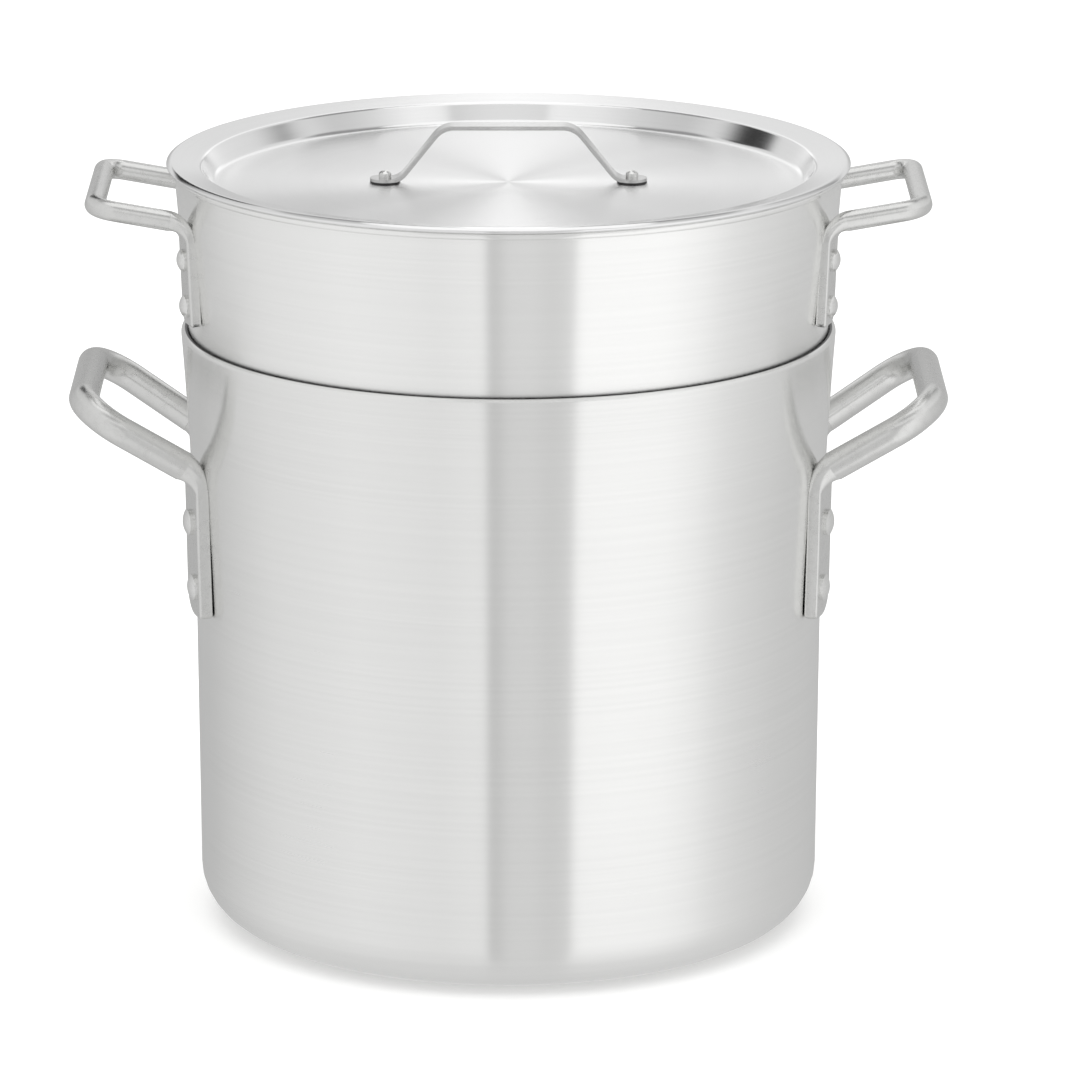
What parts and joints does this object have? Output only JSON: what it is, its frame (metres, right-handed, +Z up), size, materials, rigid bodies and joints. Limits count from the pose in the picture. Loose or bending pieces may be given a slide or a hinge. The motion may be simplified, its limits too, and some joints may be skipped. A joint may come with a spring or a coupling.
{
  "type": "double boiler",
  "caption": "Tall aluminium double boiler: a round water pot with loop handles, an inset pot seated in its mouth and a dished lid with a strap handle",
  "frame": {"origin": "centre of the underside of the outer pot, on the surface it stands on", "axes": "+Z up along the axis of the pots, +X through the right-hand handles, -Y to the front"},
  "size_m": [0.4332, 0.3382, 0.4025],
  "materials": {
    "pot_aluminium": "spun and brushed round the wall, satin",
    "inset_aluminium": "spun and brushed round the wall, satin",
    "lid_aluminium": "spun floor with fine rings, bright flange",
    "handle_aluminium": "forged bar, tumbled satin with faint mottling",
    "lid_handle_aluminium": "bent strap, satin",
    "rivet_aluminium": "upset heads, satin"
  },
  "bodies": {
    "outer": {"outer_pot": "pot_aluminium", "outer_handle_left": "handle_aluminium", "outer_handle_right": "handle_aluminium", "outer_rivet_left_front_lower": "rivet_aluminium", "outer_rivet_left_front_upper": "rivet_aluminium", "outer_rivet_left_back_lower": "rivet_aluminium", "outer_rivet_left_back_upper": "rivet_aluminium", "outer_rivet_right_front_lower": "rivet_aluminium", "outer_rivet_right_front_upper": "rivet_aluminium", "outer_rivet_right_back_lower": "rivet_aluminium", "outer_rivet_right_back_upper": "rivet_aluminium"},
    "inset": {"inset_pot": "inset_aluminium", "inset_handle_left": "handle_aluminium", "inset_handle_right": "handle_aluminium", "inset_rivet_left_front_lower": "rivet_aluminium", "inset_rivet_left_front_upper": "rivet_aluminium", "inset_rivet_left_back_lower": "rivet_aluminium", "inset_rivet_left_back_upper": "rivet_aluminium", "inset_rivet_right_front_lower": "rivet_aluminium", "inset_rivet_right_front_upper": "rivet_aluminium", "inset_rivet_right_back_lower": "rivet_aluminium", "inset_rivet_right_back_upper": "rivet_aluminium"},
    "lid": {"lid": "lid_aluminium", "lid_handle": "lid_handle_aluminium", "lid_rivet_left": "rivet_aluminium", "lid_rivet_right": "rivet_aluminium"}
  },
  "joints": [
    {"name": "inset_lift", "type": "slide", "parent": "outer", "child": "inset", "axis": [0, 0, 1], "range_m": [0, 0.26]},
    {"name": "lid_lift", "type": "slide", "parent": "inset", "child": "lid", "axis": [0, 0, 1], "range_m": [0, 0.1]}
  ]
}
